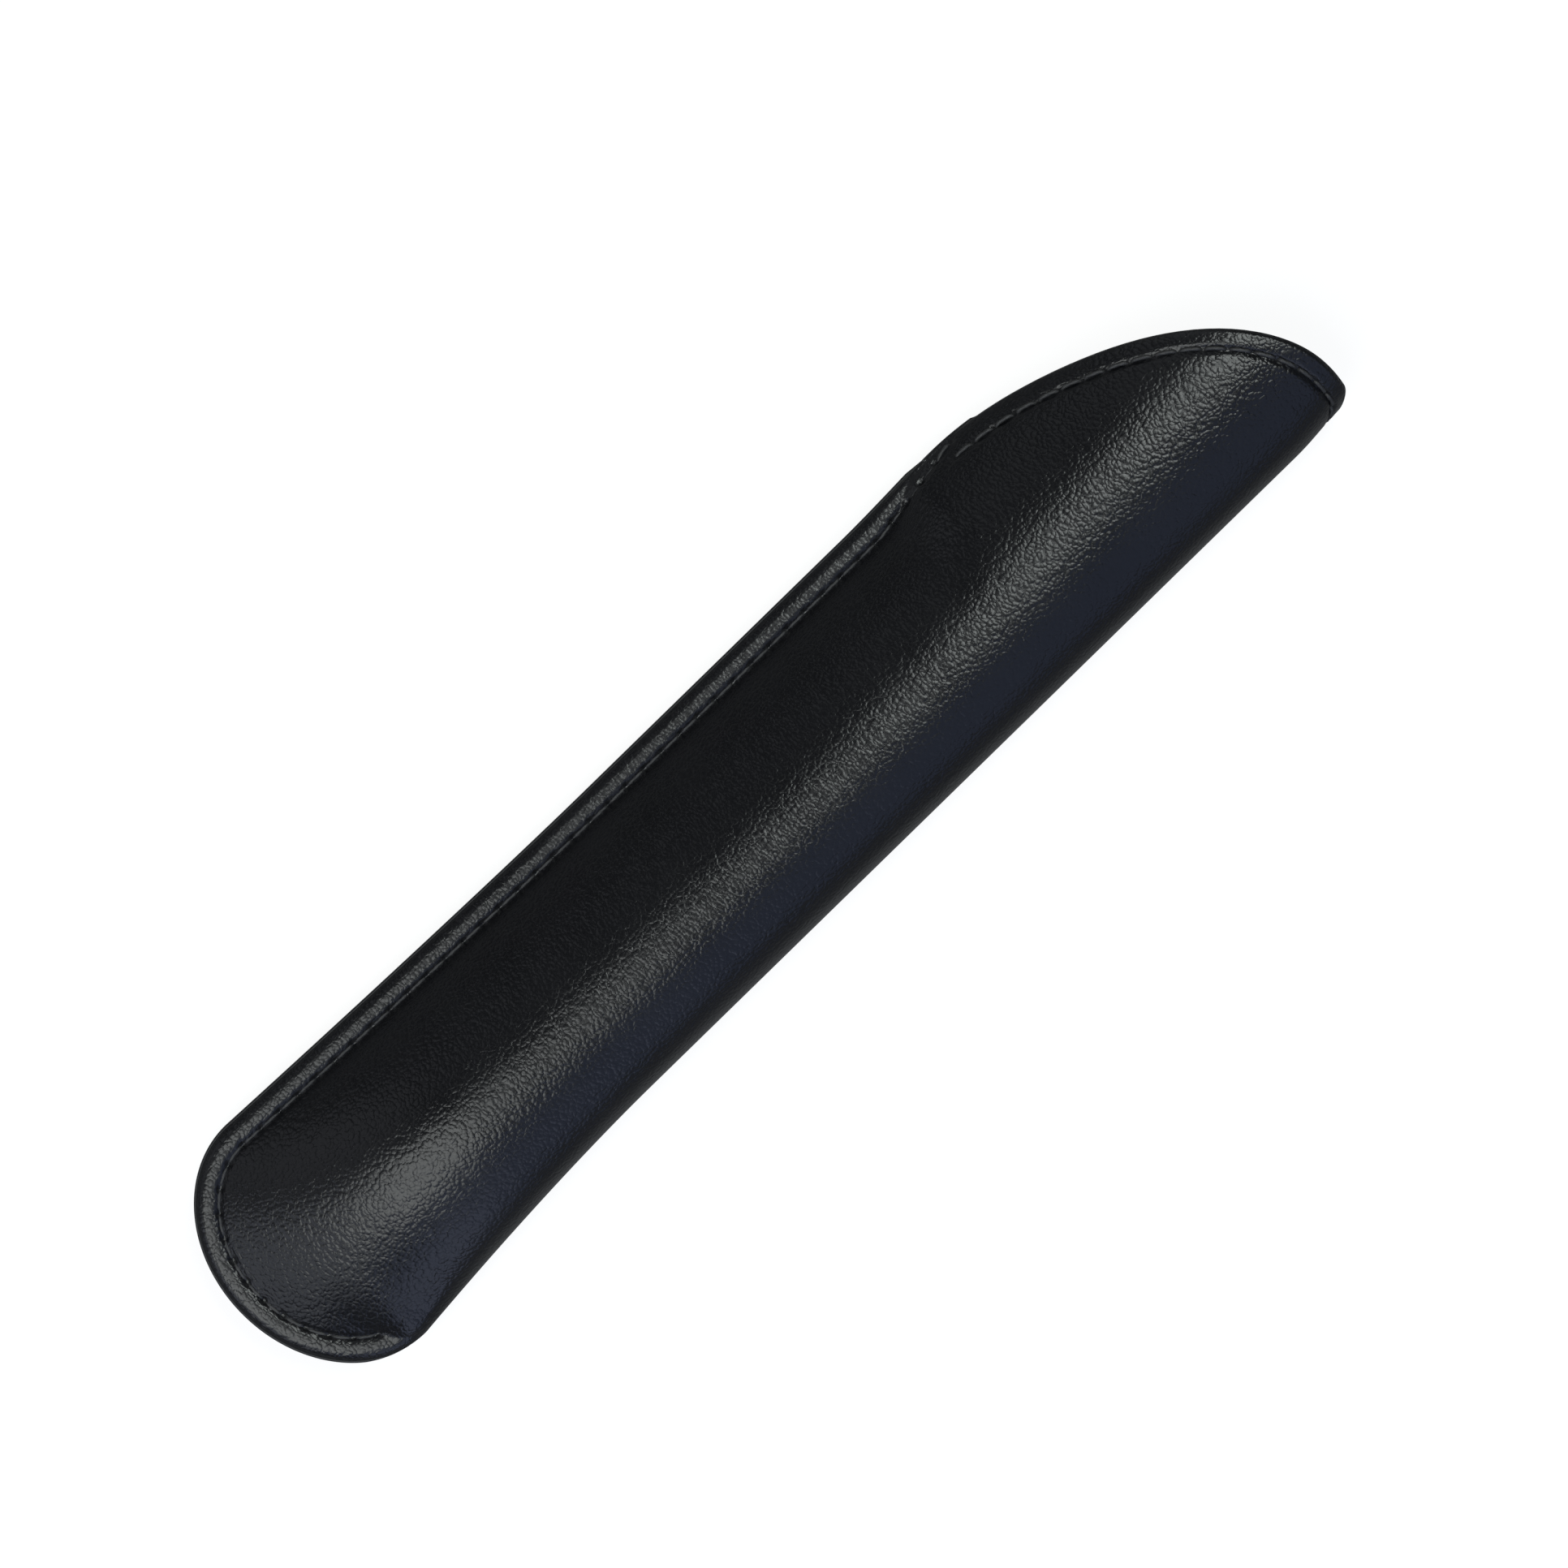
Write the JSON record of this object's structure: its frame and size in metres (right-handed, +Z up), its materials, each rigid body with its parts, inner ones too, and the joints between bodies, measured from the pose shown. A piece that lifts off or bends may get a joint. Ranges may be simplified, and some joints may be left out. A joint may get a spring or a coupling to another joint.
{
  "type": "pen sleeve",
  "caption": "Slim lined leather pen sleeve, folded along one side and stitched along the other and round the toe, with an arched slanting mouth.",
  "frame": {"origin": "centre of the box of the whole sleeve, on the table under its back", "axes": "+Y from the toe to the mouth, along the longest side; +Z up through the front panel, along the shortest; +X from the stitched seam to the fold"},
  "size_m": [0.028, 0.138, 0.015],
  "materials": {
    "shell_leather": "black, fine pebble grain, satin",
    "lining_cloth": "matte short-nap cloth, charcoal",
    "edge_paint": "black edge paint, semi-gloss",
    "sewing_thread": "black twisted polyester, low sheen"
  },
  "bodies": {
    "root": {"leather_shell": "shell_leather", "lining": "lining_cloth", "edge_paint": "edge_paint", "seam_top_thread": "sewing_thread", "seam_bobbin_thread": "sewing_thread", "hem_top_thread": "sewing_thread", "hem_bobbin_thread": "sewing_thread"}
  },
  "joints": []
}
